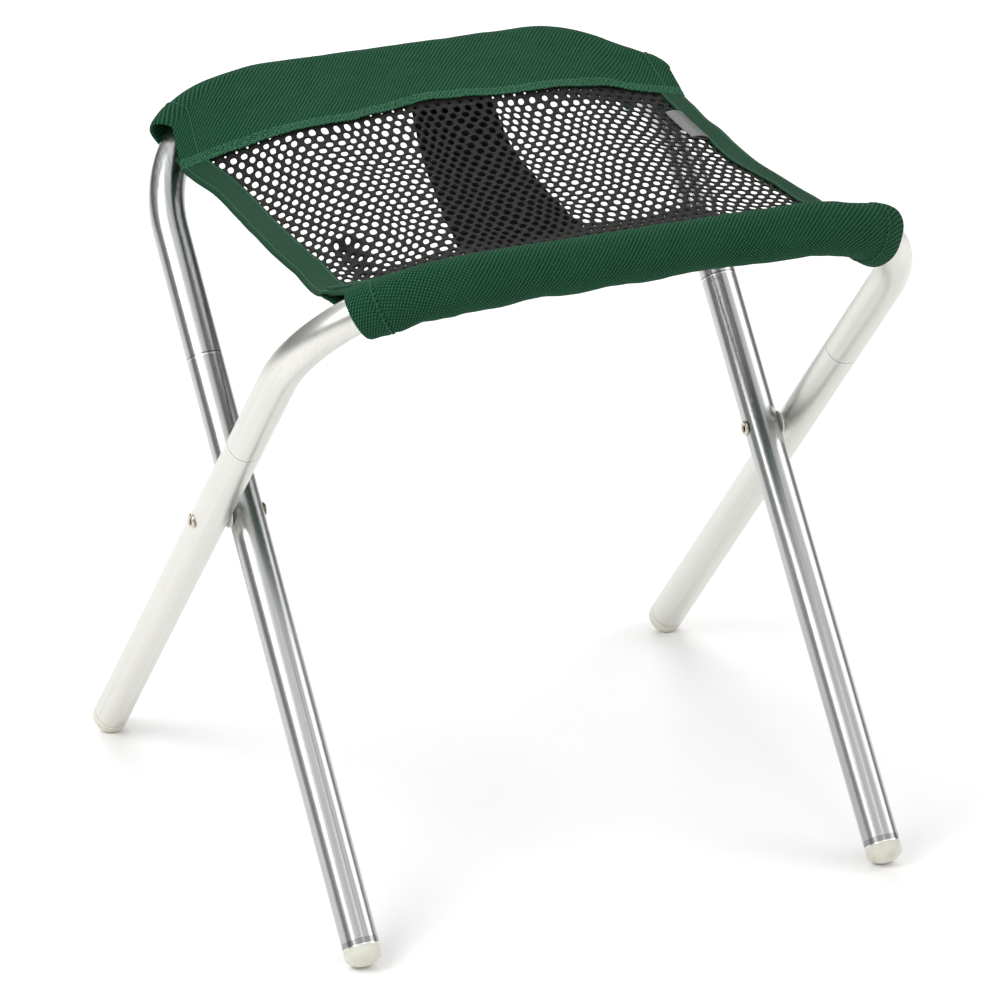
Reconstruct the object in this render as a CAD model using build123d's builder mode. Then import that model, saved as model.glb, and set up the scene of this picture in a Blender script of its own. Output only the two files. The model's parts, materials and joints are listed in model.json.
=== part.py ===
from build123d import *
from math import asin, cos, hypot, radians, sin
import os

# A folding camp stool. Two U-shaped aluminium frames cross like an X and turn on two tubular
# rivets. The outer frame carries the front bar and the rear feet, and the inner frame the rear
# bar and the front feet. A mesh seat hangs between the bars from two cloth sleeves.
# X runs along the bars, Y to the back, Z up. The origin is on the floor under the middle.

os.makedirs("parts", exist_ok=True)

# ---- driving dimensions, mm ----
tube_r = 9.5                  # outside of the frame tube
tube_wall = 1.2
outer_bar_z = 363.4           # height of the front bar's axis
inner_bar_z = 361.0           # and of the rear bar's
bar_y = 150.0                 # distance of each bar's axis from the middle
foot_y = 158.0                # each leg's axis reaches this far at the height foot_z
foot_z = 4.0
outer_width = 334.0           # from leg axis to leg axis
inner_width = 294.0
outer_bend = 83.0             # bend radius of the tube's axis
inner_bend = 73.0
outer_joint = 151.0           # from the bar's axis down the leg to where the bow meets the leg
inner_joint = 143.5

ferrule_length = 44.0
ferrule_wall = 1.5
fit_gap = 0.05                # radial gap of a fixed plug or ferrule in the tube's bore

rivet_r = 2.5
rivet_bore_r = 1.6
rivet_head_r = 4.0
rivet_head_height = 1.1
rivet_rim = 0.45              # thickness of a rolled head at its rim
rivet_throat = 0.55           # and where it turns into the bore
rivet_gap = 0.06              # radial running gap of the rivet in the legs
washer_r = 6.5
side_gap = 0.03               # end play between rivet heads, legs and washers

plug_side = 3.5               # straight side of a foot plug below the tube's end
plug_dome = 6.0
plug_stem = 16.0
wear_flat = 0.3               # height that is worn off the dome where it meets the floor

cloth = 1.2                   # thickness of the sleeve cloth, two layers with their hems
mesh_thickness = 1.2
tape = 3.0                    # thickness of the folded edge tape, with the mesh inside it
soft_gap = 0.3                # room between soft pieces on different bodies
sleeve_gap = 0.25             # radial room between the bar and its sleeve
seat_lean = 20.0              # degrees that the seat falls away from each bar
crown_sink = 0.3              # the band starts this far inside the sleeve's crown
band_x = 136.0                # half length of the bands
front_wrap = 51.0             # degrees of each bend that the sleeves cover
rear_wrap = 60.0
seam_y = 102.0                # the sleeves' inner edges
band_thickness = 3.0
tape_width = 12.0
edge_x = 140.0                # half width of the seat at its side edges
straight_x = 74.0             # half width over which the seat's ends are level
middle_front_z = 351.5        # heights of the seat at the seams and halfway, in its middle
middle_sag_z = 350.8
middle_rear_z = 356.4
side_front_z = 346.0          # and along its side edges
side_rear_z = 338.5
side_sag_z = 334.5

strap_drop = 12.0             # the strap hangs this far under the mesh halfway
strap_seam_drop = 2.6
strap_thickness = 1.4
strap_left_front = -60.0      # the strap widens to the front
strap_right_front = 24.0
strap_left_rear = -8.0
strap_right_rear = 32.0
tag_length = 34.0
tag_reach = 10.0
tag_y = 62.0
tag_thickness = 0.8

# ---- worked-out places ----
bore_r = tube_r - tube_wall
leg_run = foot_y + bar_y
outer_slope = (outer_bar_z - foot_z) / leg_run
inner_slope = (inner_bar_z - foot_z) / leg_run
bar_step = outer_bar_z - inner_bar_z - (outer_slope - inner_slope) * bar_y
pivot_y = bar_step / (outer_slope + inner_slope)      # where the legs cross
pivot_z = outer_bar_z - outer_slope * (pivot_y + bar_y)
washer_thickness = (outer_width - inner_width) / 2 - 2 * tube_r - 2 * side_gap


class Frame:
    """One U-shaped frame, with front = -1 for the frame whose bar is at the front."""

    def __init__(self, front, width, bend, joint, bar_z):
        self.front, self.width, self.bend, self.joint = front, width, bend, joint
        self.bar = Vector(0, front * bar_y, bar_z)
        leg_drop = bar_z - foot_z
        leg_length = hypot(leg_run, leg_drop)
        self.down = Vector(0, -front * leg_run, -leg_drop) / leg_length
        # The dome is half an ellipse turned about the leg's axis: this is how far it reaches
        # below its middle when it leans as the leg does.
        dome_reach = hypot(plug_dome * leg_drop / leg_length, tube_r * leg_run / leg_length)
        self.dome_at = (bar_z - dome_reach + wear_flat) * leg_length / leg_drop
        self.leg_end = self.dome_at - plug_side
        self.plane = Plane(origin=self.bar, x_dir=(1, 0, 0), z_dir=Vector(1, 0, 0).cross(self.down))

    def leg_plane(self, side, distance):
        """The plane across a leg at a distance down from the bar's axis."""
        origin = self.bar + self.down * distance + Vector(side * self.width / 2, 0, 0)
        return Plane(origin=origin, x_dir=(1, 0, 0), z_dir=self.down)


outer = Frame(-1, outer_width, outer_bend, outer_joint, outer_bar_z)
inner = Frame(1, inner_width, inner_bend, inner_joint, inner_bar_z)


def finish(part, name):
    part.label = name
    export_step(part, f"parts/{name}.step")


# ---- frame tubes ----
def make_bow(frame):
    half = frame.width / 2
    with BuildPart() as bow:
        with BuildLine(frame.plane) as path:
            FilletPolyline(
                (-half, frame.joint), (-half, 0), (half, 0), (half, frame.joint), radius=frame.bend
            )
        with BuildSketch(frame.leg_plane(-1, frame.joint)):
            Circle(tube_r)
            Circle(bore_r, mode=Mode.SUBTRACT)
        sweep(path=path.wire())
    return bow.part


def make_leg(frame, side):
    with BuildPart() as leg:
        with BuildSketch(frame.leg_plane(side, frame.joint)):
            Circle(tube_r)
            Circle(bore_r, mode=Mode.SUBTRACT)
        extrude(amount=frame.leg_end - frame.joint)
        with BuildSketch(Plane.YZ.offset(side * frame.width / 2)):
            with Locations((pivot_y, pivot_z)):
                Circle(rivet_r + rivet_gap)
        extrude(amount=tube_r + 1, both=True, mode=Mode.SUBTRACT)
    return leg.part


def make_ferrule(frame, side):
    outside = bore_r - fit_gap
    with BuildPart() as ferrule:
        with BuildSketch(frame.leg_plane(side, frame.joint - ferrule_length / 2)):
            Circle(outside)
            Circle(outside - ferrule_wall, mode=Mode.SUBTRACT)
        extrude(amount=ferrule_length)
        chamfer(ferrule.edges().filter_by(GeomType.CIRCLE).group_by(SortBy.RADIUS)[-1], 0.5)
    return ferrule.part


def make_plug(frame, side):
    """A plastic foot: a ribbed stem in the tube, a straight side and a flattened dome."""
    stem_r = bore_r - fit_gap
    across = frame.leg_plane(side, frame.dome_at)
    profile_plane = Plane(origin=across.origin, x_dir=(1, 0, 0), z_dir=frame.plane.z_dir)
    with BuildPart() as plug:
        with BuildSketch(profile_plane):
            with BuildLine():
                EllipticalCenterArc((0, 0), tube_r, plug_dome, start_angle=0, arc_size=90)
                Polyline(
                    (0, plug_dome), (0, -plug_side - plug_stem),
                    (stem_r - 1, -plug_side - plug_stem), (stem_r, -plug_side - plug_stem + 1.5),
                    (stem_r, -plug_side), (tube_r, -plug_side), (tube_r, 0),
                )
            make_face()
        revolve(axis=Axis(across.origin, frame.down))
        split(bisect_by=Plane.XY, keep=Keep.TOP)
    return plug.part


for frame, word in ((outer, "outer"), (inner, "inner")):
    finish(make_bow(frame), f"{word}_bow")
    for side, hand in ((-1, "left"), (1, "right")):
        finish(make_leg(frame, side), f"{word}_{hand}_leg")
        finish(make_ferrule(frame, side), f"{word}_{hand}_ferrule")
        finish(make_plug(frame, side), f"{word}_{hand}_foot")


# ---- pivots ----
def make_rivet(side):
    """A tubular rivet along X through both legs, with a rolled head at each end."""
    outside = outer_width / 2 + tube_r + side_gap
    inside = inner_width / 2 - tube_r - side_gap
    with BuildPart() as rivet:
        with BuildSketch(Plane((0, pivot_y, pivot_z))):
            with BuildLine():
                for face, way in ((outside, 1), (inside, -1)):
                    rim = (face + way * rivet_rim, rivet_head_r)
                    crest = (face + way * rivet_head_height, (rivet_head_r + rivet_bore_r) / 2)
                    throat = (face + way * rivet_throat, rivet_bore_r)
                    Polyline((face, rivet_r), (face, rivet_head_r), rim)
                    ThreePointArc(rim, crest, throat)
                Line((outside, rivet_r), (inside, rivet_r))
                Line((outside + rivet_throat, rivet_bore_r), (inside - rivet_throat, rivet_bore_r))
            make_face()
        revolve(axis=Axis((0, pivot_y, pivot_z), (1, 0, 0)))
        if side < 0:
            mirror(about=Plane.YZ, mode=Mode.REPLACE)
    return rivet.part


def make_washer(side):
    middle = side * (outer_width + inner_width) / 4
    with BuildPart() as washer:
        with BuildSketch(Plane.YZ.offset(middle - washer_thickness / 2)):
            with Locations((pivot_y, pivot_z)):
                Circle(washer_r)
                Circle(rivet_r + rivet_gap, mode=Mode.SUBTRACT)
        extrude(amount=washer_thickness)
    return washer.part


for side, hand in ((-1, "left"), (1, "right")):
    finish(make_rivet(side), f"{hand}_pivot_rivet")
    finish(make_washer(side), f"{hand}_pivot_washer")


# ---- seat ----
def seat_heights(x):
    """The seat's height at the front seam, halfway and at the rear seam, at x across it."""
    share = min(max((abs(x) - straight_x) / (edge_x - straight_x), 0), 1)
    return (
        middle_front_z + (side_front_z - middle_front_z) * share,
        middle_sag_z + (side_sag_z - middle_sag_z) * share,
        middle_rear_z + (side_rear_z - middle_rear_z) * share,
    )


def make_hanging_sheet(stations, reach, thickness, drops=(0, 0, 0)):
    """A sagging sheet lofted along X through its stations, from -reach to reach in Y."""
    half = thickness / 2
    with BuildPart() as sheet:
        for x in stations:
            front, middle, rear = (z - d for z, d in zip(seat_heights(x), drops))
            # the sag is a parabola through the seams, carried on to the sheet's own ends
            spread = ((front + rear) / 2 - middle) * (reach / seam_y) ** 2
            tilt = (rear - front) / 2 * reach / seam_y
            start, end = middle + spread - tilt, middle + spread + tilt
            with BuildSketch(Plane.YZ.offset(x)):
                with BuildLine():
                    ThreePointArc((-reach, start + half), (0, middle + half), (reach, end + half))
                    Line((reach, end + half), (reach, end - half))
                    ThreePointArc((reach, end - half), (0, middle - half), (-reach, start - half))
                    Line((-reach, start - half), (-reach, start + half))
                make_face()
        loft(ruled=True)
    return sheet.part


mesh_side = edge_x - 1.5      # the mesh stops just short of the tape's fold
tape_inner = edge_x - tape_width
sheet_end = seam_y - soft_gap


def make_mesh(gap):
    """The mesh, grown by a gap all round to leave it room inside the edge tape."""
    side = mesh_side + gap
    return make_hanging_sheet(
        (-side, -straight_x, straight_x, side), sheet_end + gap, mesh_thickness + 2 * gap
    )


finish(make_mesh(0), "seat_mesh")

for side, hand in ((-1, "left"), (1, "right")):
    stations = sorted((side * tape_inner, side * edge_x))
    with BuildPart() as binding:
        add(make_hanging_sheet(stations, sheet_end, tape))
        add(make_mesh(fit_gap), mode=Mode.SUBTRACT)
    finish(binding.part, f"{hand}_binding")


with BuildPart() as under_strap:
    add(make_hanging_sheet(
        (-straight_x, straight_x), sheet_end, strap_thickness,
        drops=(strap_seam_drop, strap_drop, strap_seam_drop),
    ))
    with BuildSketch(Plane.XY.offset(middle_sag_z - 2 * strap_drop)):
        Polygon(
            (strap_left_front, -seam_y), (strap_right_front, -seam_y),
            (strap_right_rear, seam_y), (strap_left_rear, seam_y), align=None,
        )
    extrude(amount=4 * strap_drop, mode=Mode.INTERSECT)
finish(under_strap.part, "under_strap")

with BuildPart() as tag:
    lift = -(mesh_thickness + tag_thickness) / 2 - soft_gap / 2
    add(make_hanging_sheet(
        (tape_inner - tag_reach, tape_inner), sheet_end, tag_thickness,
        drops=(lift, lift, lift),
    ))
    with BuildSketch(Plane.XY.offset(side_sag_z - tag_length)):
        with Locations((tape_inner, tag_y)):
            Rectangle(4 * tag_reach, tag_length)
    extrude(amount=3 * tag_length, mode=Mode.INTERSECT)
finish(tag.part, "tag")


# ---- sleeves ----
def make_sleeve(frame, wrap):
    """Cloth wrapped round the bar and part of its bends, with a flat band to the seam."""
    straight = frame.width / 2 - frame.bend
    outside = tube_r + sleeve_gap + cloth
    with BuildPart() as sleeve:
        with BuildLine(frame.plane) as path:
            CenterArc((-straight, frame.bend), frame.bend, -90 - wrap, wrap)
            Line((-straight, 0), (straight, 0))
            CenterArc((straight, frame.bend), frame.bend, -90, wrap)
        route = path.wire()
        end_plane = Plane(origin=route @ 0, x_dir=frame.plane.z_dir, z_dir=route % 0)
        lean = Vector(0, -frame.front * sin(radians(seat_lean)), cos(radians(seat_lean)))
        with BuildSketch(end_plane):
            Circle(outside)
        sweep(path=route)
        # the band, from just under the cloth's crown on the bar to the seam
        for x in (-band_x, -straight, straight, band_x):
            turn = asin(max(abs(x) - straight, 0) / frame.bend)
            axis_point = frame.bar + frame.down * frame.bend * (1 - cos(turn))
            top = axis_point + lean * (outside - crown_sink)
            root = top - lean * band_thickness
            seam = frame.front * seam_y
            seam_z = seat_heights(x)[0 if frame.front < 0 else 2]
            with BuildSketch(Plane.YZ.offset(x)):
                Polygon(
                    (top.Y, top.Z), (root.Y, root.Z), (seam, seam_z - band_thickness / 2),
                    (seam, seam_z + band_thickness / 2), align=None,
                )
        loft(ruled=True)
        with BuildSketch(end_plane):
            Circle(tube_r + sleeve_gap)
        sweep(path=route, mode=Mode.SUBTRACT)
    return sleeve.part


finish(make_sleeve(outer, front_wrap), "front_sleeve")
finish(make_sleeve(inner, rear_wrap), "rear_sleeve")
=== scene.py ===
import json
from math import atan, cos, pi, radians, sin

import bmesh
import bpy
import numpy as np
from mathutils import Matrix, Vector


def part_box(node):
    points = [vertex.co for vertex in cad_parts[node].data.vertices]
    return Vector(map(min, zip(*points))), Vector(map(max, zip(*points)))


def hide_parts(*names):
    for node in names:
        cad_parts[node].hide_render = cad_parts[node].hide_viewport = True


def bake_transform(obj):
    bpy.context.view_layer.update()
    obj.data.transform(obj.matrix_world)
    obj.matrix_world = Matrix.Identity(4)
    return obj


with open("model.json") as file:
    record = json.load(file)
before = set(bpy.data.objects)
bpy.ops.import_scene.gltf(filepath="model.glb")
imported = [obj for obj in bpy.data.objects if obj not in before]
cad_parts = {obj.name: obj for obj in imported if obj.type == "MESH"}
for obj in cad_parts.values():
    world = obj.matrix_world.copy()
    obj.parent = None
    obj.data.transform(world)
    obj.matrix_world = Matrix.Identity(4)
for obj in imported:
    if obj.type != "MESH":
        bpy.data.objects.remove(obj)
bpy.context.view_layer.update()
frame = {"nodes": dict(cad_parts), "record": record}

# A folding camp stool: the CAD frame gets its materials, and the cloth seat is made here.
# Lengths are metres, X runs along the bars, Y to the back, Z up.
mm = 0.001

# ---- places taken from the frame ----
outer_box, inner_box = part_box("outer_bow"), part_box("inner_bow")
leg_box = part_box("outer_left_leg")
tube_r = (leg_box[1][0] - leg_box[0][0]) / 2
bar_y = 150 * mm
seam_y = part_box("seat_mesh")[1][1] + 0.3 * mm
pivot = Vector(frame["record"]["behaviour"]["joints"][0]["pos_m"])

# ---- the frame's sizes that its boxes don't tell ----
outer_bend, inner_bend = 83 * mm, 73 * mm          # bend radius of the tube's axis
outer_joint, inner_joint = 151 * mm, 143.5 * mm    # from the bar's axis down the leg to the joint

# ---- the seat's own sizes ----
cloth, net_thickness, tape_thickness = 0.8 * mm, 0.9 * mm, 0.6 * mm
strap_thickness, tag_thickness = 1.2 * mm, 0.3 * mm
seat_lean = radians(20)                            # the seat falls away from each bar this steeply
tape_width, hem_width = 14.3 * mm, 13 * mm
row_step = 1.25 * mm                               # between the rows of a sleeve's or a tape's mesh


def rough(*shape, seed):
    return np.random.default_rng(seed).random(shape)


def ripple(u, v, wavelength, seed, stretch=1.0):
    """Smooth unevenness of about +-1 at points u, v, in waves of about this length."""
    total = np.zeros(np.broadcast(u, v).shape)
    picks = rough(7, 3, seed=seed)
    for turn, size, phase in picks:
        k = 2 * pi / (wavelength * (0.7 + 0.8 * size))
        a = 2 * pi * turn
        total += np.sin(k * (u * cos(a) + v * sin(a) / stretch) + 2 * pi * phase)
    return total / 3.2


def smooth(t):
    t = np.clip(t, 0, 1)
    return t * t * (3 - 2 * t)


# ---- meshes ----
def new_object(name, points, faces, uv=None):
    mesh = bpy.data.meshes.new(name)
    mesh.from_pydata([tuple(p) for p in points], [], [tuple(f) for f in faces])
    if uv is not None:
        layer = mesh.uv_layers.new(name="Cloth")
        corner_vertex = np.empty(len(mesh.loops), np.int32)
        mesh.loops.foreach_get("vertex_index", corner_vertex)
        layer.data.foreach_set("uv", np.asarray(uv, np.float32)[corner_vertex].ravel())
    mesh.polygons.foreach_set("use_smooth", [True] * len(mesh.polygons))
    obj = bpy.data.objects.new(name, mesh)
    bpy.context.scene.collection.objects.link(obj)
    return obj


def grid_faces(rows, columns):
    return [
        (i * columns + j, i * columns + j + 1, (i + 1) * columns + j + 1, (i + 1) * columns + j)
        for i in range(rows - 1) for j in range(columns - 1)
    ]


def new_sheet(name, points, uv, thickness):
    """A thick sheet from a grid of points."""
    obj = new_object(name, points.reshape(-1, 3), grid_faces(*points.shape[:2]), uv.reshape(-1, 2))
    thicken(obj, thickness)
    return obj


def apply_modifiers(obj):
    graph = bpy.context.evaluated_depsgraph_get()
    obj.data = bpy.data.meshes.new_from_object(obj.evaluated_get(graph), depsgraph=graph)
    obj.modifiers.clear()


def thicken(obj, thickness):
    """Gives a sheet its thickness, half to each side."""
    solid = obj.modifiers.new("thickness", "SOLIDIFY")
    solid.thickness, solid.offset, solid.use_even_offset = thickness, 0, False
    apply_modifiers(obj)
    obj.data.polygons.foreach_set("use_smooth", [True] * len(obj.data.polygons))


def trim(obj, side):
    """Cuts a half off at the middle of the seat, with the normals that it had before the cut, so that the
    join with its other half doesn't show."""
    mesh = obj.data
    store = mesh.attributes.new("whole", "FLOAT_VECTOR", "POINT")
    store.data.foreach_set("vector", np.array([v.normal for v in mesh.vertices]).ravel())
    cut = bmesh.new()
    cut.from_mesh(mesh)
    extra = [v for v in cut.verts if v.co.y * side < -0.1 * mm]
    bmesh.ops.delete(cut, geom=extra, context="VERTS")
    cut.to_mesh(mesh)
    cut.free()
    normals = np.empty(len(mesh.vertices) * 3)
    mesh.attributes["whole"].data.foreach_get("vector", normals)
    mesh.attributes.remove(mesh.attributes["whole"])
    mesh.normals_split_custom_set_from_vertices(normals.reshape(-1, 3))


# ---- the bars ----
class Bar:
    """One bar with its bends. side is -1 for the front bar, 1 for the rear bar. wraps are the degrees of
    bend that the sleeve covers on the left and right. seam_end is how far its seam reaches there."""

    def __init__(self, side, bow, bend, wraps, body, seam_end):
        half, bar_z = bow[1][0] - tube_r, bow[1][2] - tube_r
        self.side, self.bend, self.body, self.seam_end = side, bend, body, seam_end
        self.straight = half - bend
        self.centre = np.array((0, side * bar_y, bar_z))
        down = np.array(pivot) - self.centre
        self.down = down / np.linalg.norm(down)
        normal = np.cross((1, 0, 0), self.down)
        self.normal = normal * np.sign(normal[2])
        self.ends = [-self.straight - bend * radians(wraps[0]), self.straight + bend * radians(wraps[1])]

    def seam_x(self, p):
        """Where a length p along the bar comes to on the seam, which is a little shorter or longer."""
        reach = self.path(p)[0][..., 0]
        last = np.abs(self.path(np.array(self.ends))[0][:, 0])
        end_reach = np.where(p < 0, last[0], last[1])
        pull = smooth((np.abs(reach) - self.straight) / (end_reach - self.straight))
        return reach * (1 + (np.where(p < 0, *self.seam_end) / end_reach - 1) * pull)

    def path(self, p):
        """Axis point, direction and outward normal at a length p along the bar from its middle."""
        p = np.asarray(p, float)
        hand = np.sign(p)
        turn = np.maximum(np.abs(p) - self.straight, 0) / self.bend
        x = np.clip(p, -self.straight, self.straight) + hand * self.bend * np.sin(turn)
        fall = self.bend * (1 - np.cos(turn))
        ex = np.array((1.0, 0, 0))
        point = self.centre + x[..., None] * ex + fall[..., None] * self.down
        along = np.cos(turn)[..., None] * ex + (hand * np.sin(turn))[..., None] * self.down
        out = (hand * np.sin(turn))[..., None] * ex - np.cos(turn)[..., None] * self.down
        return point, along, out, turn


front = Bar(-1, outer_box, outer_bend, (43, 45), "front_bar_frame", (147 * mm, 146 * mm))
rear = Bar(1, inner_box, inner_bend, (51, 58), "rear_bar_frame", (141 * mm, 146 * mm))
halves = ((-1, "front", front), (1, "rear", rear))


# ---- the seat's surface ----
def along(y, *places):
    """A smooth line through (y, value) places in millimetres."""
    at, value = np.array(places).T
    y = np.asarray(y) / mm
    k = np.clip(np.searchsorted(at, y) - 1, 0, len(at) - 2)
    t = np.clip((y - at[k]) / (at[k + 1] - at[k]), 0, 1)
    return (value[k] + (value[k + 1] - value[k]) * t * t * (3 - 2 * t)) * mm


def edge_x(y, hand):
    """How far a side edge is from the middle. The cloth sits a little to the right and its ends flare."""
    if hand < 0:
        left = (-130, 141), (-112, 144), (-96, 143.5), (-45, 138.5), (60, 136.5), (104, 140.5), (112, 141)
        return along(y, *left)
    right = (-112, 148), (-56, 145.5), (5, 141.0), (60, 144), (104, 146), (112, 146)
    return along(y, *right)


def crease_distance(x, y):
    """Distance to the short crease in the net near the front left corner."""
    start, end = np.array((-108, -40)) * mm, np.array((-116, -88)) * mm
    way = end - start
    t = np.clip(((x - start[0]) * way[0] + (y - start[1]) * way[1]) / (way @ way), 0, 1)
    return np.hypot(x - start[0] - t * way[0], y - start[1] - t * way[1])


def seat_z(x, y):
    """Height of the seat cloth's middle, between the seams and a little beyond them. Heights are in
    millimetres up to the last line. The cloth falls towards its sides, and sags between the seams."""
    s = (np.abs(x) - 74 * mm) / (66 * mm)
    side = np.clip(0.5 * (s + np.sqrt(s * s + 0.03)) - 0.012, 0, 1.3)
    share = np.minimum(np.abs(y / seam_y), 1)
    rise_past_seam = 0.39 * np.maximum(np.abs(y) - seam_y, 0) / mm
    right = 2.0 * (x > 0)
    end = np.where(y < 0, 351.8, 356.4)
    side_end = np.where(y < 0, 346.0, 338.5 + right)
    side_middle = 334.8 + right
    middle = 349.6 - 1.6 * np.exp(-((x - 10 * mm) / (70 * mm)) ** 2)
    at_middle = middle + (end - middle) * np.where(y < 0, share ** 7, share ** 2.6)
    at_side = side_middle + (side_end - side_middle) * np.where(y < 0, share ** 5, share ** 3)
    folds = 0.8 * ripple(x, y, 50 * mm, 4, stretch=3.0) + 0.3 * ripple(x, y, 20 * mm, 9, stretch=2.0)
    calm = smooth((1.02 - share) / 0.25) * smooth((edge_x(y, 1) + 2 * mm - np.abs(x)) / (20 * mm))
    away = crease_distance(x, y) / mm
    pucker = -2.0 * np.exp(-(away / 5.5) ** 2) + 0.8 * np.exp(-((away - 11) / 5) ** 2)
    return (at_middle + (at_side - at_middle) * side + (folds + pucker) * calm + rise_past_seam) * mm


def seat_point(x, y, lift=0.0):
    """A point on the seat cloth, lifted along its normal."""
    step = 0.5 * mm
    z = seat_z(x, y)
    zx = (seat_z(x + step, y) - seat_z(x - step, y)) / (2 * step)
    zy = (seat_z(x, y + step) - seat_z(x, y - step)) / (2 * step)
    normal = np.stack([-zx, -zy, np.ones_like(z)], -1)
    normal /= np.linalg.norm(normal, axis=-1, keepdims=True)
    lift = np.broadcast_to(lift, z.shape)
    return np.stack([x + 0 * z, y + 0 * z, z], -1) + normal * lift[..., None]


# ---- the cloth sleeves round the bars ----
sleeve_r = 10.5 * mm                       # the cloth's middle, over the bar
seam_rows = np.array([0, 0.5, 1.2, 2.0, 2.8, 4.0, 5.2, 6.4, 7.6]) * mm


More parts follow.
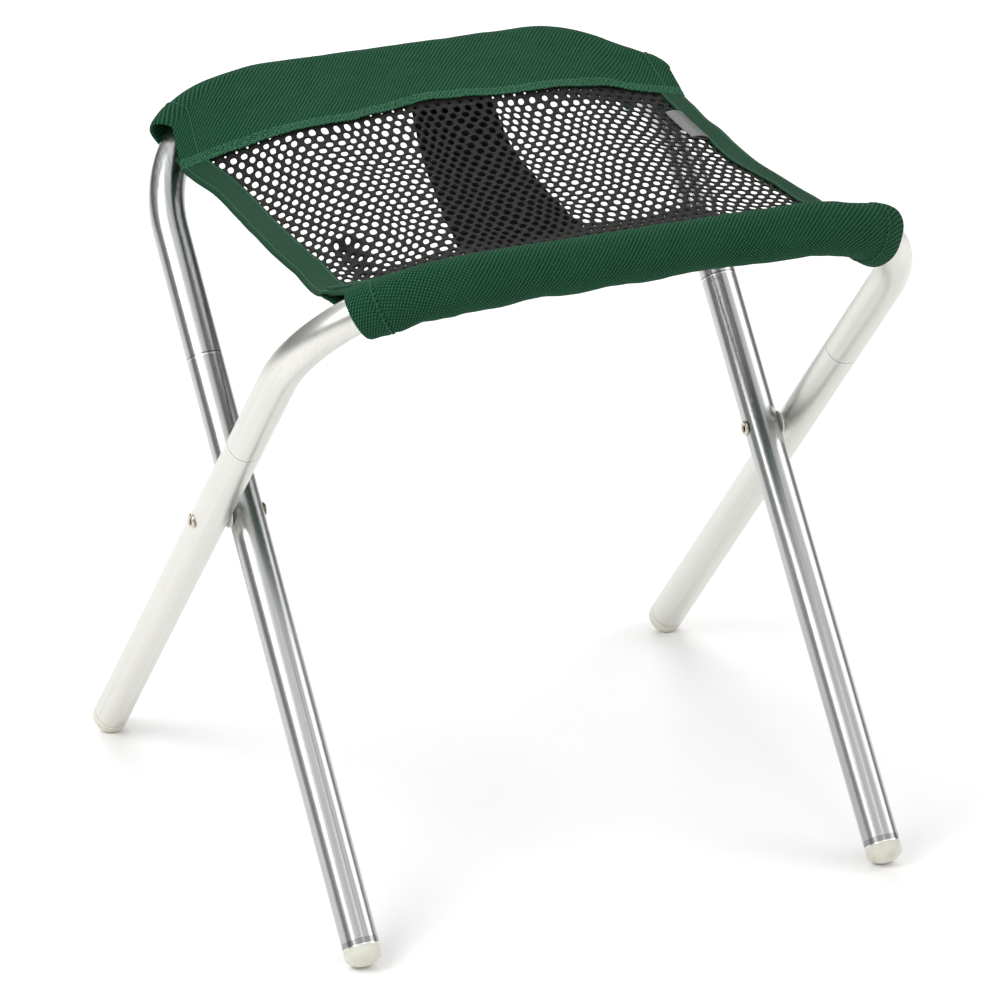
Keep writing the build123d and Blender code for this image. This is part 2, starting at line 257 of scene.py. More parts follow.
class Sleeve:
    """Points of a sleeve: rows run along the bar, columns round it from the seam over the bar and back.
    slack is how far it hangs under the bar at places along it, flare how far its left and right ends stand
    off the bar, and drift where its seam runs."""

    def __init__(self, bar, slack, flare, drift, seed):
        self.bar = bar
        first, last = bar.ends
        fold = np.array((0.35, 0.12, 0.0)) * mm
        inside = np.arange(hem_width, 0.8 * mm, -1.6 * mm)
        step = hem_width + np.array((-1.5, -0.7, -0.35, 0, 0.3, 0.6, 1.3)) * mm
        outside = np.concatenate((np.arange(0.9 * mm, hem_width - 2 * mm, row_step), step))
        middle = np.arange(hem_width + 2.4 * mm, last - first - hem_width - 2.4 * mm, row_step)
        p = np.concatenate((
            first + inside, first + fold, first + outside, first + middle,
            last - outside[::-1], last - fold[::-1], last - inside[::-1],
        ))
        inner = np.zeros(len(p))
        k = len(inside)
        inner[:k], inner[-k:] = 1, 1
        inner[k:k + 3], inner[-k - 3:-k] = (0.85, 0.5, 0.15), (0.15, 0.5, 0.85)
        self.p, self.rows_out = p, (k + 3, len(p) - k - 3)
        to_end = np.minimum(p - first, last - p)
        hem = smooth((hem_width + 0.3 * mm - to_end) / (0.6 * mm))
        stitch = np.exp(-((to_end - hem_width + 1.5 * mm) / (0.8 * mm)) ** 2)
        radius = sleeve_r + (0.85 * hem - 0.42 * stitch) * mm * (1 - inner) - 0.28 * mm * inner
        ramp = np.where(p < 0, 34 + 3 * flare[0], 34)
        stand = np.where(p < 0, *flare) * mm * smooth(1 - to_end / (ramp * mm)) ** 1.2

        centre, _, out, _ = bar.path(p)
        xs = bar.seam_x(p)
        up = np.array((0, -bar.side * sin(seat_lean), cos(seat_lean)))
        layer = 0.98 * mm - 0.6 * mm * inner
        seam_at = np.full(len(p), bar.side * seam_y)
        top_at = bar.side * along(xs, *drift)
        low = np.stack([xs, seam_at, seat_z(xs, seam_at)], -1)
        top = np.stack([xs, top_at, seat_z(xs, top_at)], -1)
        top_seam, low_seam = top + layer[:, None] * up, low - layer[:, None] * up

        def angles(seam, r, hand):
            a, b = ((seam - centre) * out).sum(1), (seam - centre) @ bar.normal
            return np.arctan2(b, a) + hand * np.arccos(np.clip(r / np.hypot(a, b), -1, 1))

        hang = np.interp(p / mm, *np.array(slack).T) * mm
        hang = hang + (0.5 * ripple(p, 0 * p, 0.05, seed)) * mm
        hang = np.maximum(hang, 0.2 * mm) * (1 - 0.25 * inner)
        crown = angles(top_seam, radius + 0.85 * stand, -1)
        low = angles(low_seam, radius + hang, 1) - 2 * pi

        def ring(angle):
            sagging = smooth((radians(-20) - angle) / radians(105))
            lifted = np.exp(-((angle - 0.6) / 1.05) ** 2)
            r = radius + hang * sagging + stand * lifted
            way = np.cos(angle)[:, None] * out + np.sin(angle)[:, None] * bar.normal
            return centre + r[:, None] * way

        columns = []
        top, bottom = ring(crown), ring(low)
        length = np.linalg.norm(top - top_seam, axis=1)
        shares = [d / length for d in seam_rows]
        sewn = shares[-1]
        shares += [sewn + (1 - sewn) * t for t in np.linspace(0, 1, 26)[1:]]
        for share in shares:
            columns.append(top_seam + share[:, None] * (top - top_seam))
        self.crown_column = len(columns) - 1
        for t in np.linspace(0, 1, 52)[1:]:
            columns.append(ring(crown + (low - crown) * t))
        for t in np.linspace(0, 1, 28)[1:]:
            share = t * t * (3 - 2 * t) * 0.15 + t * 0.85
            point = bottom + share * (low_seam - bottom)
            columns.append(point + np.array((0, 0, -1.1 * mm)) * sin(pi * t) ** 2)
        self.points = np.stack(columns, 1)
        self.add_folds(seed, to_end)

    def normals(self):
        along = np.gradient(self.points, axis=0)
        round_it = np.gradient(self.points, axis=1)
        n = np.cross(along, round_it)
        n /= np.maximum(np.linalg.norm(n, axis=2, keepdims=True), 1e-12)
        return n * self.outward

    def add_folds(self, seed, to_end):
        """Soft unevenness, creases that run from the seam, and the puckers of its two rows of stitches."""
        middle = self.points[len(self.p) // 2, self.crown_column]
        self.outward = 1
        lean = self.normals()[len(self.p) // 2, self.crown_column] @ (middle - self.bar.centre)
        self.outward = np.sign(lean)
        u = self.p[:, None] + np.zeros(self.points.shape[1])
        steps = np.linalg.norm(np.diff(self.points, axis=1), axis=2)
        v = np.concatenate((np.zeros((len(self.p), 1)), np.cumsum(steps, 1)), 1)
        self.uv = np.stack([-self.bar.side * u, v], -1)
        width = v[:, -1:]
        to_seam = np.minimum(v, width - v)
        free = smooth((to_seam - 2 * mm) / (6 * mm)) * smooth(to_end / (5 * mm))[:, None]
        tight = np.exp(-((v - v[:, self.crown_column, None] - 12 * mm) / (13 * mm)) ** 2)
        soft = 0.34 * ripple(u, v, 0.034, seed + 1, stretch=2.2) + 0.14 * ripple(u, v, 0.012, seed + 2)
        height = soft * free * (1 - 0.78 * tight)
        puckers = 0.20 * ripple(u, v * 0.2, 0.0075, seed + 3) * np.exp(-(to_seam / (6 * mm)) ** 2)
        rows = sum(np.exp(-((to_seam - d) / (0.55 * mm)) ** 2) for d in (1.2 * mm, 5.2 * mm))
        height = height + puckers * smooth(to_end / (3 * mm))[:, None] - 0.16 * rows
        inner = np.zeros(len(self.p))
        inner[:self.rows_out[0] - 3] = 1
        inner[self.rows_out[1] + 3:] = 1
        self.points = self.points + self.normals() * (height * (1 - inner)[:, None] * mm)[..., None]

    def make(self, name):
        return new_sheet(name, self.points, self.uv, cloth)

    def sewn_lines(self):
        """The rows of stitches, as points and normals: two along the seam, and one across each hem."""
        a, b = self.rows_out
        normal, p = self.normals(), self.p[a:b]
        inset = hem_width - 1.5 * mm
        rows = [a + int(np.argmin(np.abs(p - at))) for at in (p[0] + inset, p[-1] - inset)]
        along_seam = [(self.points[a:b, column], normal[a:b, column]) for column in (2, 6)]
        return along_seam + [(self.points[row], normal[row]) for row in rows]


# ---- stitches ----
thread_r = 0.21 * mm


def stitches(name, lines, pitch=2.9 * mm, lift=0.42 * mm, sides=6):
    """Rows of thread: each stitch rises out of the cloth, runs along it and goes back in."""
    points, faces = [], []
    half_profile = ((-0.44, -0.45), (-0.40, 0.25), (-0.22, 0.62))
    other_half = tuple((-share, height) for share, height in half_profile[::-1])
    profile = half_profile + ((0.0, 0.72),) + other_half
    for number, (path, normal) in enumerate(lines):
        step = np.linalg.norm(np.diff(path, axis=0), axis=1)
        run = np.concatenate(((0,), np.cumsum(step)))
        count = max(int(run[-1] / pitch), 1)
        shift = rough(count, 2, seed=40 + number) - 0.5
        for k in range(count):
            middle = (k + 0.5) * run[-1] / count
            ring_points = []
            for share, height in profile:
                s = middle + share * pitch
                at = np.array([np.interp(s, run, path[:, i]) for i in range(3)])
                n = np.array([np.interp(s, run, normal[:, i]) for i in range(3)])
                n /= np.linalg.norm(n)
                ahead = np.array([np.interp(s + 0.3 * mm, run, path[:, i]) for i in range(3)])
                behind = np.array([np.interp(s - 0.3 * mm, run, path[:, i]) for i in range(3)])
                t = ahead - behind
                t /= max(np.linalg.norm(t), 1e-12)
                b = np.cross(t, n)
                at = at + n * (lift + (height - 0.55) * thread_r * 1.6)
                at = at + b * (shift[k, 0] * 0.12 * mm + share * shift[k, 1] * 0.25 * mm)
                turns = [2 * pi * i / sides for i in range(sides)]
                ring_points.append([at + thread_r * (cos(turn) * b + sin(turn) * n) for turn in turns])
            base = len(points)
            for one in ring_points:
                points.extend(one)
            for i in range(len(profile) - 1):
                for j in range(sides):
                    a, c = base + i * sides + j, base + i * sides + (j + 1) % sides
                    faces.append((a, c, c + sides, a + sides))
            faces.append(tuple(base + j for j in reversed(range(sides))))
            last = base + (len(profile) - 1) * sides
            faces.append(tuple(last + j for j in range(sides)))
    return new_object(name, points, faces)


def follow(obj):
    """Bakes the object's placement into its mesh."""
    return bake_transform(obj)


# ---- the net ----
hole_pitch, row_pitch, row_shift = 6.3 * mm, 7.0 * mm, 4.6 * mm
hole_long, hole_short = 6.2 * mm, 3.15 * mm
hole_turn = radians(75)                    # the holes' long way, from X towards the back


def cell_outline(points_per_side):
    """The outline of one cell: every place nearer to its own hole than to a neighbour's."""
    a, b = np.array((hole_pitch, 0)), np.array((hole_pitch - row_shift, -row_pitch))
    c = b - a
    around = sorted((tuple(v) for v in (a, b, c, -a, -b, -c)), key=lambda v: np.arctan2(v[1], v[0]))
    corners = []
    for v, w in zip(around, around[1:] + around[:1]):
        m = np.array((v, w))
        corners.append(np.linalg.solve(m, (m ** 2).sum(1) / 2))
    corners = np.array(corners)
    outline = []
    for v, w in zip(corners, np.roll(corners, -1, 0)):
        outline += [v + (w - v) * k / points_per_side for k in range(points_per_side)]
    return np.array(outline)


def openness(x, y):
    """How far a hole of the net is open. The seams and the crease at the front left pull it shut."""
    if y < 0:
        left_part = (-150, 4), (-112, 10), (-100, 17), (-63, 15), (-40, 11)
        right_part = (-6, 20), (15, 24), (62, 27), (82, 10), (150, 4)
        depth = along(x, *left_part, *right_part)
    else:
        depth = along(x, (-150, 1), (48, 1), (72, 7), (92, 13), (112, 10), (150, 5))
    near_seam = float(smooth((seam_y - depth - abs(y)) / (9 * mm)))
    crease = float(np.exp(-(crease_distance(x, y) / (5.5 * mm)) ** 2))
    return (0.12 + 0.88 * near_seam) * (1 - 0.7 * crease)


def net_half(name, side):
    """One half of the net, with a hole in every cell. Neighbouring cells share their outline."""
    outline = cell_outline(3)
    n = len(outline)
    angle = np.arctan2(outline[:, 1], outline[:, 0])
    reach = 0.5 / np.hypot(np.cos(angle - hole_turn) / hole_long, np.sin(angle - hole_turn) / hole_short)
    hole = np.stack([np.cos(angle), np.sin(angle)], -1) * reach[:, None]
    rings = (hole, hole + (outline - hole) * 0.36)
    index, points, faces = {}, [], []
    same_place = 0.01 * mm

    def vertex(x, y, lift, key=None):
        if key is not None and key in index:
            return index[key]
        points.append((x, y, lift))
        if key is not None:
            index[key] = len(points) - 1
        return len(points) - 1

    for j in range(-17, 18):
        for i in range(-45, 46):
            cx, cy = i * hole_pitch + j * row_shift, j * row_pitch
            if side * cy < (0 if side > 0 else 0.5 * row_pitch) or abs(cy) > seam_y + 6.5 * mm:
                continue
            if abs(cx) > edge_x(cy, np.sign(cx)) - 4.5 * mm:
                continue
            wobble = (rough(2, seed=(i + 100) * 1000 + j + 100) - 0.5) * 0.55 * mm
            grow = 1 + (rough(1, seed=(i + 100) * 977 + j + 7)[0] - 0.5) * 0.16
            grow *= openness(cx, cy)
            centre = np.array((cx, cy))
            edge = [vertex(*(centre + h * grow + wobble), 0.0) for h in rings[0]]
            for top in (1, -1):
                mid = [vertex(*(centre + h + 0.6 * wobble), top * 0.38) for h in rings[1]]
                rim = []
                for x, y in centre + outline:
                    rim.append(vertex(x, y, top * 0.5, (round(x / same_place), round(y / same_place), top)))
                for k in range(n):
                    m = (k + 1) % n
                    quads = ((edge[k], edge[m], mid[m], mid[k]), (mid[k], mid[m], rim[m], rim[k]))
                    faces += [q if top < 0 else q[::-1] for q in quads]
    points = np.array(points)
    x, y = points[:, 0], points[:, 1]
    sway = smooth((seam_y - np.abs(y)) / (20 * mm)) * mm
    held = smooth(np.abs(y) / (20 * mm))               # the two halves meet on a straight line
    swayed_x = x + 1.5 * sway * ripple(x, y, 50 * mm, 81)
    swayed_y = y + 1.3 * sway * ripple(x, y, 60 * mm, 82) * held
    placed = seat_point(swayed_x, swayed_y, points[:, 2] * net_thickness)
    return new_object(name, placed, faces, points[:, :2])


# ---- the tapes along the sides ----
class Tape:
    """One half of a tape folded round a side edge of the net, with one row too many beyond the middle.
    Columns run from its upper inner edge round the fold to below."""

    def __init__(self, hand, side, seed):
        past_seam = (24 if side < 0 else 9) * mm
        y = np.arange(-row_step, seam_y + past_seam, row_step) * side
        gap = 0.95 * mm
        inward = np.concatenate((np.linspace(tape_width, 0.9 * mm, 12), (0.35 * mm, 0.06 * mm, 0.0)))
        height = np.concatenate((np.full(12, 1.0), (0.86, 0.45, 0.0)))
        inward = np.concatenate((inward, inward[-2::-1]))
        height = np.concatenate((height, -height[-2::-1]))
        wave = 0.35 * ripple(y, 0 * y + hand, 70 * mm, seed)
        wave += 0.10 * ripple(y, 0 * y + hand, 22 * mm, seed + 1)
        edge = edge_x(y, hand) + wave * mm * smooth((seam_y - np.abs(y)) / (10 * mm))
        yy = y[:, None] + 0 * inward
        x = hand * (edge[:, None] - inward)
        puff = 0.25 * ripple(yy, x, 30 * mm, seed + 2) * smooth((4 * mm - inward) / (4 * mm))
        rows = sum(np.exp(-((inward - d) / (0.5 * mm)) ** 2) for d in (tape_width - 1.6 * mm, 2.6 * mm))
        lift = gap * height + (puff - 0.12 * rows * height) * mm
        if side < 0:                                   # the front ends lie over the sleeve
            lift = lift + mm * smooth((np.abs(yy) - seam_y + 4 * mm) / (4 * mm)) * np.sign(height)
        self.side = side
        self.points = seat_point(x, yy, lift)
        self.uv = np.stack([yy, np.arange(1, len(inward) + 1) * 0.9 * mm + 0 * yy], -1)
        self.up = seat_point(x, yy, lift + mm) - self.points
        self.up /= np.linalg.norm(self.up, axis=2, keepdims=True)

    def make(self, name):
        obj = new_sheet(name, self.points, self.uv, tape_thickness)
        trim(obj, self.side)
        return obj

    def sewn_lines(self):
        """The rows of stitches, near the inner edge and near the fold: points and normals."""
        return [(self.points[1:, column], self.up[1:, column]) for column in (1, 10)]


# ---- materials ----
class Nodes:
    """Short names for making shader nodes."""

    def __init__(self, name, roughness, **values):
        self.material = bpy.data.materials.new(name)
        self.material.use_nodes = True
        self.tree = self.material.node_tree
        self.shader = next(n for n in self.tree.nodes if n.type == "BSDF_PRINCIPLED")
        self.shader.inputs["Roughness"].default_value = roughness
        for key, value in values.items():
            self.shader.inputs[key.replace("_", " ")].default_value = value
        self.place = self.node("ShaderNodeTexCoord").outputs["Object"]

    def node(self, kind, links=(), **settings):
        made = self.tree.nodes.new(kind)
        for key, value in settings.items():
            setattr(made, key, value)
        for key, value in dict(links).items():
            if isinstance(value, bpy.types.NodeSocket):
                self.tree.links.new(value, made.inputs[key])
            else:
                made.inputs[key].default_value = value
        return made

    def math(self, operation, a, b=0.0, c=0.0):
        return self.node("ShaderNodeMath", {0: a, 1: b, 2: c}, operation=operation).outputs[0]

    def dot(self, a, b):
        return self.node("ShaderNodeVectorMath", {0: a, 1: b}, operation="DOT_PRODUCT").outputs["Value"]

    def apart(self, vector, axis):
        return self.node("ShaderNodeSeparateXYZ", {0: vector}).outputs[axis]

    def cloth_uv(self):
        return self.node("ShaderNodeUVMap", uv_map="Cloth").outputs[0]

    def mapped(self, vector, scale=(1, 1, 1), rotation=(0, 0, 0)):
        turned = self.node("ShaderNodeMapping", {"Vector": vector, "Rotation": rotation})
        return self.node("ShaderNodeMapping", {"Vector": turned.outputs[0], "Scale": scale}).outputs[0]

    def noise(self, vector, scale, detail=4.0, roughness=0.55):
        links = {"Vector": vector, "Scale": scale, "Detail": detail, "Roughness": roughness}
        return self.node("ShaderNodeTexNoise", links).outputs["Fac"]

    def waves(self, vector, across, period, warp=None):
        """A row of smooth ribs, 0 to 1, across a direction."""
        place = self.dot(vector, across)
        if warp is not None:
            place = self.math("ADD", place, warp)
        angle = self.math("MULTIPLY", place, 2 * pi / period)
        return self.math("MULTIPLY_ADD", self.math("SINE", angle), 0.5, 0.5)

    def woven(self, ribs, threads, rib_depth, thread_depth):
        """Ribs crossed by threads, each between 1 and 1 less its depth."""
        ribs = self.math("MULTIPLY_ADD", ribs, rib_depth, 1 - rib_depth)
        threads = self.math("MULTIPLY_ADD", threads, thread_depth, 1 - thread_depth)
        return self.math("MULTIPLY", ribs, threads)

    def ramp(self, fac, *stops):
        made = self.node("ShaderNodeValToRGB", {"Fac": fac})
        elements = made.color_ramp.elements
        for k, (place, colour) in enumerate(stops):
            element = elements[k] if k < 2 else elements.new(place)
            element.position = place
            element.color = (*colour, 1) if len(colour) == 3 else colour
        return made.outputs["Color"]

    def mix(self, fac, a, b, mode="MIX"):
        made = self.node("ShaderNodeMix", data_type="RGBA", blend_type=mode)
        for socket, value in ((made.inputs[0], fac), (made.inputs[6], a), (made.inputs[7], b)):
            if isinstance(value, bpy.types.NodeSocket):
                self.tree.links.new(value, socket)
            else:
                socket.default_value = value if isinstance(value, float) else (*value, 1)
        return made.outputs[2]

    def colour(self, socket):
        self.tree.links.new(socket, self.shader.inputs["Base Color"])

    def rough(self, fac, low, high):
        made = self.node("ShaderNodeMapRange", {"Value": fac, "To Min": low, "To Max": high})
        self.tree.links.new(made.outputs[0], self.shader.inputs["Roughness"])

    def bump(self, *layers):
        """Layers of (height, distance in metres), the coarsest first."""
        normal = None
        for height, distance in layers:
            links = {"Height": height, "Distance": distance, "Strength": 1.0}
            if normal is not None:
                links["Normal"] = normal
            normal = self.node("ShaderNodeBump", links).outputs[0]
        self.tree.links.new(normal, self.shader.inputs["Normal"])


def green_cloth():
    m = Nodes("green_twill", 0.85, Specular_IOR_Level=0.06)
    uv = m.cloth_uv()
    wander = m.math("MULTIPLY", m.noise(uv, 160, 2), 0.00035)
    ribs = m.waves(uv, (0.77, 0.64, 0), 0.0017, wander)
    threads = m.waves(uv, (-0.64, 0.77, 0), 0.0013, wander)
    fuzz = m.noise(uv, 2600, 3)
    patch = m.noise(uv, 45, 4)
    weave = m.woven(ribs, threads, 0.65, 0.45)
    deep, body, light = (0.0008, 0.005, 0.0025), (0.0055, 0.035, 0.0175), (0.034, 0.145, 0.074)
    base = m.ramp(weave, (0.0, deep), (0.45, body), (1.0, light))
    faded = m.mix(m.ramp(patch, (0.3, (0, 0, 0)), (0.75, (0.3, 0.3, 0.3))), base, (0.022, 0.082, 0.044))
    slubs = m.noise(m.mapped(uv, (1, 1.6, 1), (0, 0, radians(-52))), 850, 3)
    worn = m.mix(m.ramp(slubs, (0.56, (0, 0, 0)), (0.74, (0.6, 0.6, 0.6))), faded, (0.045, 0.145, 0.080))
    specks = m.ramp(fuzz, (0.62, (0, 0, 0)), (0.78, (0.45, 0.45, 0.45)))
    at_seam = m.math("LESS_THAN", m.apart(uv, 1), 0.0065)
    rubbed = m.math("MULTIPLY", m.ramp(slubs, (0.46, (0, 0, 0)), (0.62, (0.85, 0.85, 0.85))), at_seam)
    rubbed = m.mix(rubbed, worn, (0.060, 0.185, 0.105))
    m.colour(m.mix(specks, rubbed, (0.05, 0.16, 0.09)))
    m.rough(weave, 0.95, 0.7)
    m.bump((patch, 0.0004), (weave, 0.0003), (fuzz, 0.00008))
    return m.material


def green_tape():
    m = Nodes("green_tape", 0.7, Specular_IOR_Level=0.07)
    uv = m.cloth_uv()
    wander = m.math("MULTIPLY", m.noise(uv, 220, 2), 0.0002)
    ribs = m.waves(uv, (1, 0, 0), 0.00085, wander)
    threads = m.waves(uv, (0, 1, 0), 0.0007, wander)
    fuzz = m.noise(uv, 2400, 3)
    weave = m.woven(ribs, threads, 0.5, 0.3)
    base = m.ramp(weave, (0.0, (0.006, 0.030, 0.015)), (1.0, (0.014, 0.060, 0.031)))
    specks = m.ramp(fuzz, (0.60, (0, 0, 0)), (0.78, (0.4, 0.4, 0.4)))
    m.colour(m.mix(specks, base, (0.032, 0.105, 0.06)))
    m.rough(weave, 0.85, 0.62)
    m.bump((m.noise(uv, 120, 3), 0.0003), (weave, 0.00015), (fuzz, 0.00004))
    return m.material


def green_thread():
    m = Nodes("green_thread", 0.55, Sheen_Weight=0.03, Specular_IOR_Level=0.3)
    twist = m.noise(m.place, 2500, 3)
    m.colour(m.ramp(twist, (0.3, (0.016, 0.085, 0.045)), (0.7, (0.045, 0.17, 0.095))))
    m.rough(twist, 0.45, 0.7)
    m.bump((twist, 0.00008))
    return m.material


def black_net():
    m = Nodes("black_net", 0.6, Specular_IOR_Level=0.12)
    uv = m.cloth_uv()
    wander = m.math("MULTIPLY", m.noise(uv, 300, 2), 0.0008)
    loops = m.waves(uv, (0.9, 0.44, 0), 0.0009, wander)
    wales = m.waves(uv, (-0.44, 0.9, 0), 0.0012, wander)
    knit = m.math("MULTIPLY", loops, wales)
    fuzz = m.noise(uv, 1800, 3)
    base = m.ramp(knit, (0.0, (0.0022, 0.002, 0.0016)), (1.0, (0.013, 0.012, 0.0096)))
    m.colour(m.mix(m.ramp(fuzz, (0.6, (0, 0, 0)), (0.85, (0.5, 0.5, 0.5))), base, (0.026, 0.024, 0.020)))
    m.rough(fuzz, 0.45, 0.75)
    m.bump((knit, 0.0003), (fuzz, 0.00006))
    return m.material


def black_webbing():
    m = Nodes("black_webbing", 0.7, Specular_IOR_Level=0.08)
    uv = m.cloth_uv()
    ribs = m.waves(uv, (1, 0, 0), 0.0016)
    zigzag = m.math("PINGPONG", m.apart(uv, 0), 0.004)
    steps = m.waves(uv, (0, 1, 0), 0.0011, zigzag)
    weave = m.math("MULTIPLY", ribs, steps)
    m.colour(m.ramp(weave, (0.0, (0.002, 0.002, 0.002)), (1.0, (0.010, 0.0095, 0.009))))
    m.rough(weave, 0.85, 0.6)
    m.bump((weave, 0.0003), (m.noise(uv, 1800, 3), 0.00005))
    return m.material


def grey_satin():
    m = Nodes("grey_satin", 0.42, Sheen_Weight=0.1, Sheen_Roughness=0.3)
    uv = m.cloth_uv()
    threads = m.waves(uv, (1, 0, 0), 0.0005, m.math("MULTIPLY", m.noise(uv, 500, 2), 0.0002))
    m.colour(m.ramp(threads, (0.0, (0.07, 0.07, 0.068)), (1.0, (0.12, 0.12, 0.115))))
    m.rough(m.noise(uv, 400, 3), 0.35, 0.55)
    m.bump((m.noise(uv, 150, 3), 0.0003), (threads, 0.00005))
    return m.material


def drawn_metal(name, bar, joint, leg, colour, streak, low, high):
    """Satin aluminium tube: fine lines along its length, small handling marks, a fine dark ring at its
    joint with a painted highlight beside it, and a rolled-in end with a painted highlight along its edge
    round the foot."""
    tilt = atan(abs(bar.down[1] / bar.down[2]))
    lean = bar.side * tilt
    end = (bar.centre[2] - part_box(leg)[0][2] - tube_r * sin(tilt)) / cos(tilt)
    m = Nodes(name, 0.3, Metallic=1.0)
    along = m.mapped(m.place, (900, 900, 5), (lean, 0, 0))
    wide = m.mapped(m.place, (220, 220, 2), (lean, 0, 0))
    fine, broad = m.noise(along, 1.0, 5, 0.6), m.noise(wide, 1.0, 3)
    marks = m.noise(m.place, 90, 5)
    lines = m.math("MULTIPLY_ADD", fine, 0.65, m.math("MULTIPLY", broad, 0.35))
    dark = tuple(c * (1 - streak) for c in colour)
    tone = m.mix(m.ramp(lines, (0.35, (0, 0, 0)), (0.65, (1, 1, 1))), dark, colour)
    down = m.dot(m.place, tuple(bar.down))
    from_joint = m.math("SUBTRACT", down, float(bar.centre @ bar.down) + joint)
    in_ring = m.math("COMPARE", from_joint, 0.0, 0.00035)
    # painted highlight: a bright line beside the joint's dark ring, where the tube's edge would catch the
    # light
    ring_highlight = m.math("COMPARE", from_joint, 0.0008, 0.00035)
    tone = m.mix(m.math("MULTIPLY", in_ring, 0.75), tone, (0.12, 0.12, 0.12))
    tone = m.mix(m.math("MULTIPLY", ring_highlight, 0.6), tone, (0.97, 0.97, 0.96))
    rolled = m.math("COMPARE", from_joint, float(end - joint - 0.0022), 0.0015)
    # painted highlight: a bright line at the tube's end round the foot, where its rolled-in edge would
    # catch the light
    edge = m.math("COMPARE", from_joint, float(end - joint), 0.0006)
    tone = m.mix(m.math("MULTIPLY", rolled, 1.6 * streak), tone, (0.18, 0.18, 0.19))
    m.colour(m.mix(edge, tone, (0.92, 0.92, 0.91)))
    mixed = m.math("MULTIPLY_ADD", marks, 0.4, m.math("MULTIPLY", lines, 0.6))
    m.rough(mixed, low, high)
    m.bump((lines, 0.00001), (marks, 0.00001))
    return m.material


def plain_metal(name, colour, low, high, scale):
    m = Nodes(name, low, Metallic=1.0)
    marks = m.noise(m.place, scale, 5)
    m.colour(m.ramp(marks, (0.3, tuple(c * 0.75 for c in colour)), (0.7, colour)))
    m.rough(marks, low, high)
    m.bump((marks, 0.00005))
    return m.material


def moulded(name, dark, light, scale, **values):
    m = Nodes(name, 0.4, **values)
    cloud, grain = m.noise(m.place, scale, 4), m.noise(m.place, scale * 12, 3)
    m.colour(m.ramp(cloud, (0.3, dark), (0.7, light)))
    m.rough(grain, 0.32, 0.5)
    m.bump((cloud, 0.00012), (grain, 0.00003))
    return m.material


def use(obj, material):
    obj.data.materials.clear()
    obj.data.materials.append(material)


# ================= the cloth pieces =================
def make_sleeve(name, bar, slack, flare, drift, seed):
    cover = Sleeve(bar, slack, flare, drift, seed)
    obj = cover.make(name + "_cloth")
    use(obj, twill)
    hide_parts(name)
    sewn = stitches(name + "_stitching", cover.sewn_lines())
    use(sewn, thread)
    follow(obj)
    follow(sewn)


def make_net(name, side):
    obj = net_half(name, side)
    use(obj, net_yarn)
    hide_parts("seat_mesh")
    follow(obj)


def make_tape(label, hand, end, side):
    tape = Tape(hand, side, 60 + 3 * hand)
    obj = tape.make(f"{label}_{end}_tape")
    use(obj, tape_cloth)
    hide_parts(f"{label}_binding")
    sewn = stitches(f"{label}_{end}_tape_stitching", tape.sewn_lines())
    use(sewn, thread)
    follow(obj)
    follow(sewn)


def make_strap(end, side):
    """Half of the strap under the net. It hangs free between the seams, and is wider at the front."""
    y = np.arange(0, seam_y + 6 * mm, 2 * mm) * side
    to_front = (seam_y - y) / (2 * seam_y)
    left = (-12 - 52 * to_front) * mm
    right = (32 - 17 * to_front) * mm
    x = left[:, None] + (right - left)[:, None] * np.linspace(0, 1, 36)
    y = y[:, None] + 0 * x
    gap = 2.6 + 9.4 * smooth((1 - np.abs(y) / seam_y) / 0.55)
    curl = 0.8 * ripple(x, y, 40 * mm, 31)
    points = seat_point(x, y, -(gap + curl) * mm)
    obj = new_sheet(f"{end}_under_strap", points, np.stack([y, x], -1), strap_thickness)
    use(obj, webbing)
    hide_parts("under_strap")
    follow(obj)


def make_tag():
    """The folded satin tag beside the right tape, sewn in at its open edge."""
    y = np.linspace(35.5, 72.5, 26) * mm
    out, fold = np.linspace(13.2, 22.6, 12), [23.1, 23.3, 23.1]
    inward = np.concatenate((out, fold, out[::-1])) * mm
    upper, lower = 1.55 + 0.9 * np.sin(np.linspace(0, pi, 12)), np.full(12, 0.95)
    layer = np.concatenate((upper, [1.45, 1.25, 1.05], lower))
    y = y[:, None] + 0 * inward
    x = edge_x(y, 1) - inward
    points = seat_point(x, y, (layer + 0.12 * ripple(y, x, 20 * mm, 71)) * mm)
    tag = new_sheet("plain_tag", points, np.stack([y, x], -1), tag_thickness)
    use(tag, satin)
    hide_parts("tag")
    follow(tag)


twill, tape_cloth, thread = green_cloth(), green_tape(), green_thread()
net_yarn, webbing, satin = black_net(), black_webbing(), grey_satin()

# places along the bar, and how far the sleeve hangs there, in millimetres
front_slack = (
    (-152, 2.0), (-138, 4.5), (-130, 6.0), (-118, 4.2), (-100, 6.6), (-60, 5.4),
    (0, 5.0), (35, 4.2), (80, 5.4), (120, 6.0), (150, 5.0), (164, 3.5),
)
rear_slack = ((-152, 2.5), (-120, 5.0), (-60, 4.0), (0, 4.6), (60, 5.2), (120, 4.4), (152, 3.0))
# places across the seat, and how far back or forward the sleeve's seam runs there
even = ((-160, 102), (160, 102))
wavy = (
    (-160, 101), (-121, 100), (-101, 98), (-70, 95), (-50, 95), (-33, 97.5), (-2, 103),
    (18, 101.5), (40, 98.5), (58, 98.5), (80, 100), (102, 103), (121, 101), (160, 101),
)
make_sleeve("front_sleeve", front, front_slack, flare=(0.8, 3.6), drift=even, seed=11)
make_sleeve("rear_sleeve", rear, rear_slack, flare=(8.0, 7.0), drift=wavy, seed=23)
for side, end, bar in halves:
    make_net(f"{end}_seat_net", side)
for hand, label in ((-1, "left"), (1, "right")):
    for side, end, bar in halves:
        make_tape(label, hand, end, side)
for side, end, bar in halves:
    make_strap(end, side)
make_tag()

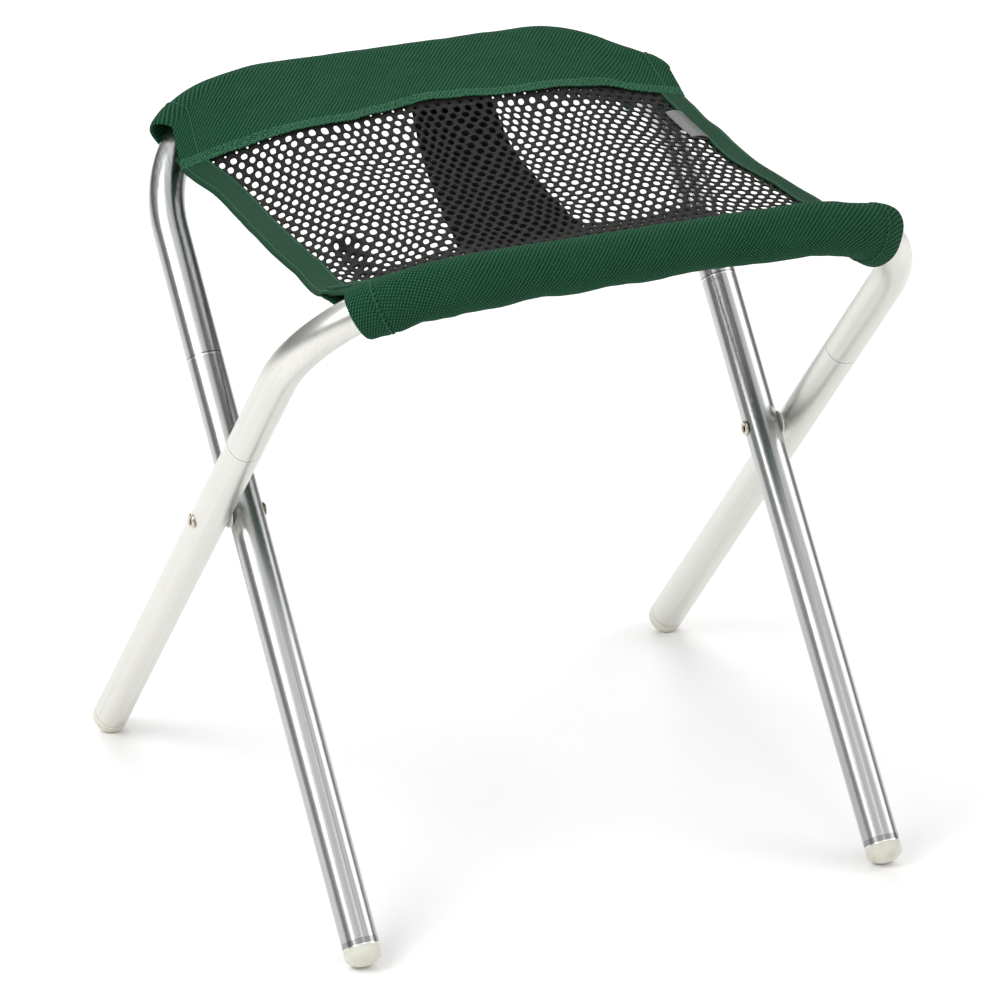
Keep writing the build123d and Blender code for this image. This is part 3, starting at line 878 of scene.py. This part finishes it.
# ================= the frame's materials =================
outer_metal = drawn_metal(
    "outer_aluminium", front, outer_joint, "outer_left_leg", (0.76, 0.752, 0.712), 0.10, 0.28, 0.40,
)
inner_metal = drawn_metal(
    "inner_aluminium", rear, inner_joint, "inner_left_leg", (0.60, 0.61, 0.60), 0.34, 0.20, 0.30,
)
foot_plastic = moulded("foot_plastic", (0.64, 0.61, 0.51), (0.76, 0.735, 0.65), 130, Subsurface_Weight=0.15)
nylon = moulded("washer_nylon", (0.75, 0.75, 0.72), (0.85, 0.85, 0.82), 160)
rivet_metal = plain_metal("rivet_nickel", (0.72, 0.66, 0.55), 0.22, 0.42, 700)
for name, node in frame["nodes"].items():
    if name.endswith(("leg", "bow", "ferrule")):
        use(node, outer_metal if name.startswith("outer") else inner_metal)
    elif name.endswith("foot"):
        use(node, foot_plastic)
    elif name.endswith("washer"):
        use(node, nylon)
    elif name.endswith("rivet"):
        use(node, rivet_metal)

# ================= floor, light and camera =================
scene = bpy.context.scene


def add_floor(half=6):
    mesh = bpy.data.meshes.new("floor")
    corners = [(-half, -half, 0), (half, -half, 0), (half, half, 0), (-half, half, 0)]
    mesh.from_pydata(corners, [], [(0, 1, 2, 3)])
    floor = bpy.data.objects.new("floor", mesh)
    scene.collection.objects.link(floor)
    paper = Nodes("floor_paper", 0.85)
    grain = paper.noise(paper.place, 40, 3)
    paper.colour(paper.ramp(grain, (0.3, (0.935, 0.935, 0.932)), (0.7, (0.945, 0.945, 0.942))))
    use(floor, paper.material)


def add_sky():
    """A dome of light, bright above and dark at the horizon, so that the tubes get their dark bands."""
    world = bpy.data.worlds.new("studio")
    scene.world = world
    world.use_nodes = True
    sky = world.node_tree
    background = sky.nodes["Background"]
    toward = sky.nodes.new("ShaderNodeTexCoord").outputs["Generated"]
    height = sky.nodes.new("ShaderNodeSeparateXYZ")
    sky.links.new(toward, height.inputs[0])
    dome = sky.nodes.new("ShaderNodeValToRGB")
    sky.links.new(height.outputs["Z"], dome.inputs["Fac"])
    horizon, top = dome.color_ramp.elements
    horizon.position, horizon.color = 0.0, (0.10, 0.10, 0.105, 1)
    top.position, top.color = 0.75, (1, 1, 1, 1)
    part_way = dome.color_ramp.elements.new(0.30)
    part_way.color = (0.34, 0.34, 0.34, 1)
    sky.links.new(dome.outputs["Color"], background.inputs["Color"])
    background.inputs["Strength"].default_value = 0.95


def softbox(name, place, size, power):
    light = bpy.data.lights.new(name, "AREA")
    light.shape, light.size, light.size_y, light.energy = "RECTANGLE", size[0], size[1], power
    obj = bpy.data.objects.new(name, light)
    obj.location = place
    obj.rotation_mode = "QUATERNION"
    obj.rotation_quaternion = (Vector((0, 0, 0.2)) - Vector(place)).to_track_quat("-Z", "Y")
    scene.collection.objects.link(obj)


def add_camera():
    azimuth, elevation, roll = radians(-24.03), radians(23.91), radians(0.47)
    distance, target = 3.209, Vector((0, 0, 0.150))
    back = Vector((sin(azimuth) * cos(elevation), -cos(azimuth) * cos(elevation), sin(elevation)))
    camera = bpy.data.cameras.new("camera")
    camera.sensor_width, camera.lens = 36, 220.5
    camera.shift_x, camera.shift_y = -0.0079, 0.0346
    camera.clip_start, camera.clip_end = 0.1, 40
    eye = bpy.data.objects.new("camera", camera)
    scene.collection.objects.link(eye)
    eye.rotation_mode = "QUATERNION"
    turned = (-back).to_track_quat("-Z", "Y")
    eye.rotation_quaternion = turned @ Matrix.Rotation(roll, 3, "Z").to_quaternion()
    eye.location = target + back * distance
    scene.camera = eye


add_floor()
add_sky()
softbox("key", (-1.7, -0.3, 1.7), (1.1, 1.5), 26)
softbox("fill", (1.7, -0.5, 1.3), (0.8, 1.6), 9)
softbox("strip", (0.1, -2.2, 1.3), (0.25, 1.8), 4)
softbox("back", (0.4, 1.8, 1.3), (1.6, 0.9), 14)
add_camera()
scene.view_settings.view_transform = "Standard"
